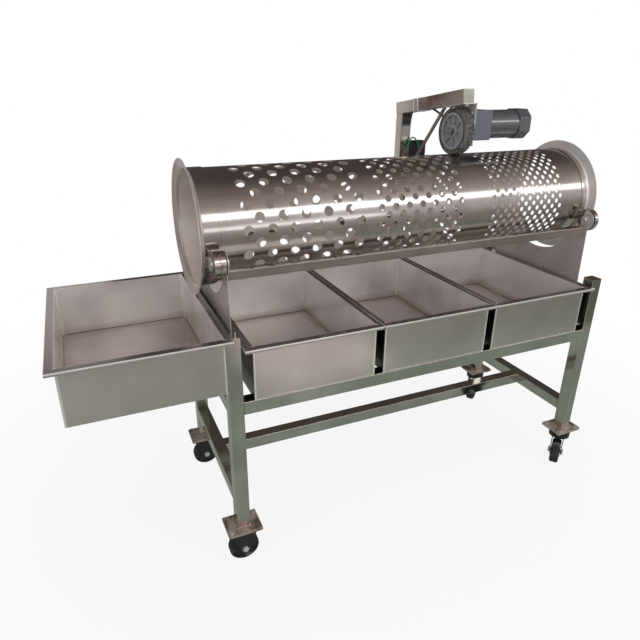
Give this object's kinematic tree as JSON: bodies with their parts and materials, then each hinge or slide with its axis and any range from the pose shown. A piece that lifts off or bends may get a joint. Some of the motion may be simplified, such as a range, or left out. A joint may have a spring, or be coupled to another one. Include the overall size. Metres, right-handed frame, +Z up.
{
  "type": "drum grading machine",
  "caption": "Drum grader on casters: a perforated drum on rollers, turned by a friction wheel, sorts pieces by size into slide-out sheet trays and an end tray.",
  "frame": {"origin": "on the floor, under the middle of the machine's bounding box", "axes": "+X along the drum from the discharge end to the feed end, +Y from the front to the drive post, +Z up"},
  "size_m": [1.7654, 0.6486, 1.3353],
  "materials": {
    "polished_tube": "polished stainless tube",
    "satin_sheet": "satin stainless sheet",
    "polished_drum": "mirror-polished stainless",
    "ground_flare": "matte ground stainless",
    "bearing_steel": "ground bearing rings",
    "bright_bolts": "bright steel",
    "rusty_plate": "mild steel with rust tint",
    "black_fork": "black paint",
    "black_wheel": "solid black tread",
    "grey_tyre": "worn dark rubber",
    "cast_hub": "grey casting",
    "slate_paint": "slate grey paint",
    "black_plastic": "matte black",
    "cable_rubber": "black sheath",
    "green_sleeve": "green sleeve"
  },
  "bodies": {
    "frame": {"arm_brace": "rusty_plate", "caster_bolts": "rusty_plate", "caster_plates": "rusty_plate", "cradle_rail_back": "polished_tube", "cradle_rail_front": "polished_tube", "drive_arm": "polished_tube", "drive_post": "polished_tube", "earth_lead": "green_sleeve", "end_plate_left": "satin_sheet", "end_plate_right": "satin_sheet", "fan_cover": "slate_paint", "foot_plates": "rusty_plate", "gearbox": "slate_paint", "junction_box": "black_plastic", "leg_back_left": "polished_tube", "leg_back_right": "polished_tube", "leg_front_left": "polished_tube", "leg_front_right": "polished_tube", "motor_body": "slate_paint", "motor_bolts": "bright_bolts", "motor_bracket": "rusty_plate", "motor_cable": "cable_rubber", "post_brackets": "polished_tube", "rigid_axles": "bright_bolts", "rigid_forks": "black_fork", "roller_axles": "bright_bolts", "stretcher_left": "polished_tube", "stretcher_middle": "polished_tube", "stretcher_right": "polished_tube", "tray_rail_back": "polished_tube", "tray_rail_front": "polished_tube", "tray_rail_left": "polished_tube", "tray_rail_right": "polished_tube"},
    "drum": {"flare_ring_left": "ground_flare", "raceway_left": "polished_drum", "screen_coarse": "polished_drum", "screen_medium": "polished_drum", "drive_band": "polished_drum", "screen_fine": "polished_drum", "raceway_right": "polished_drum", "flare_ring_right": "ground_flare"},
    "drive_wheel": {"drive_tyre": "grey_tyre", "drive_hub": "cast_hub", "drive_shaft": "bright_bolts"},
    "tray_coarse": {"tray_coarse": "satin_sheet"},
    "tray_medium": {"tray_medium": "satin_sheet"},
    "tray_fine": {"tray_fine": "satin_sheet"},
    "outlet_tray": {"outlet_tray": "satin_sheet"},
    "roller_front_left": {"roller_front_left": "bearing_steel"},
    "caster_wheel_front_left": {"caster_wheel_front_left": "black_wheel"},
    "roller_front_right": {"roller_front_right": "bearing_steel"},
    "caster_wheel_front_right": {"caster_wheel_front_right": "black_wheel"},
    "swivel_front": {"swivel_fork_front": "black_fork", "swivel_axle_front": "bright_bolts"},
    "roller_back_left": {"roller_back_left": "bearing_steel"},
    "caster_wheel_back_left": {"caster_wheel_back_left": "black_wheel"},
    "roller_back_right": {"roller_back_right": "bearing_steel"},
    "caster_wheel_back_right": {"caster_wheel_back_right": "black_wheel"},
    "swivel_back": {"swivel_fork_back": "black_fork", "swivel_axle_back": "bright_bolts"}
  },
  "joints": [
    {"name": "drum_spin", "type": "hinge", "parent": "frame", "child": "drum", "pos_m": [0, -0.01351, 0.98], "axis": [1, 0, 0], "continuous": true},
    {"name": "drive_wheel_spin", "type": "hinge", "parent": "frame", "child": "drive_wheel", "pos_m": [0.39042, -0.01351, 1.2103], "axis": [1, 0, 0], "continuous": true},
    {"name": "roller_front_left_spin", "type": "hinge", "parent": "frame", "child": "roller_front_left", "pos_m": [-0.44925, -0.20505, 0.92868], "axis": [1, 0, 0], "continuous": true},
    {"name": "roller_front_right_spin", "type": "hinge", "parent": "frame", "child": "roller_front_right", "pos_m": [0.82425, -0.20505, 0.92868], "axis": [1, 0, 0], "continuous": true},
    {"name": "roller_back_left_spin", "type": "hinge", "parent": "frame", "child": "roller_back_left", "pos_m": [-0.44925, 0.17804, 0.92868], "axis": [1, 0, 0], "continuous": true},
    {"name": "roller_back_right_spin", "type": "hinge", "parent": "frame", "child": "roller_back_right", "pos_m": [0.82425, 0.17804, 0.92868], "axis": [1, 0, 0], "continuous": true},
    {"name": "tray_coarse_slide", "type": "slide", "parent": "frame", "child": "tray_coarse", "axis": [0, -1, 0], "range_m": [0, 0.25]},
    {"name": "tray_medium_slide", "type": "slide", "parent": "frame", "child": "tray_medium", "axis": [0, -1, 0], "range_m": [0, 0.25]},
    {"name": "tray_fine_slide", "type": "slide", "parent": "frame", "child": "tray_fine", "axis": [0, -1, 0], "range_m": [0, 0.25]},
    {"name": "outlet_tray_lift", "type": "slide", "parent": "frame", "child": "outlet_tray", "axis": [0, 0, 1], "range_m": [0, 0.03]},
    {"name": "swivel_front_turn", "type": "hinge", "parent": "frame", "child": "swivel_front", "pos_m": [0.83075, -0.26605, 0.124], "axis": [0, 0, 1], "continuous": true},
    {"name": "swivel_back_turn", "type": "hinge", "parent": "frame", "child": "swivel_back", "pos_m": [0.83075, 0.23904, 0.124], "axis": [0, 0, 1], "continuous": true},
    {"name": "caster_wheel_front_left_spin", "type": "hinge", "parent": "frame", "child": "caster_wheel_front_left", "pos_m": [-0.44125, -0.26605, 0.046], "axis": [0, 1, 0], "continuous": true},
    {"name": "caster_wheel_front_right_spin", "type": "hinge", "parent": "swivel_front", "child": "caster_wheel_front_right", "pos_m": [0.80553, -0.28575, 0.046], "axis": [-0.6157, 0.788, 0], "continuous": true},
    {"name": "caster_wheel_back_left_spin", "type": "hinge", "parent": "frame", "child": "caster_wheel_back_left", "pos_m": [-0.44125, 0.23904, 0.046], "axis": [0, 1, 0], "continuous": true},
    {"name": "caster_wheel_back_right_spin", "type": "hinge", "parent": "swivel_back", "child": "caster_wheel_back_right", "pos_m": [0.80553, 0.21934, 0.046], "axis": [-0.6157, 0.788, 0], "continuous": true}
  ],
  "couplings": [
    {"joint": "drive_wheel_spin", "follows": "drum_spin", "ratio": -2.2857},
    {"joint": "roller_front_left_spin", "follows": "drum_spin", "ratio": -4.5},
    {"joint": "roller_front_right_spin", "follows": "drum_spin", "ratio": -4.5},
    {"joint": "roller_back_left_spin", "follows": "drum_spin", "ratio": -4.5},
    {"joint": "roller_back_right_spin", "follows": "drum_spin", "ratio": -4.5}
  ]
}
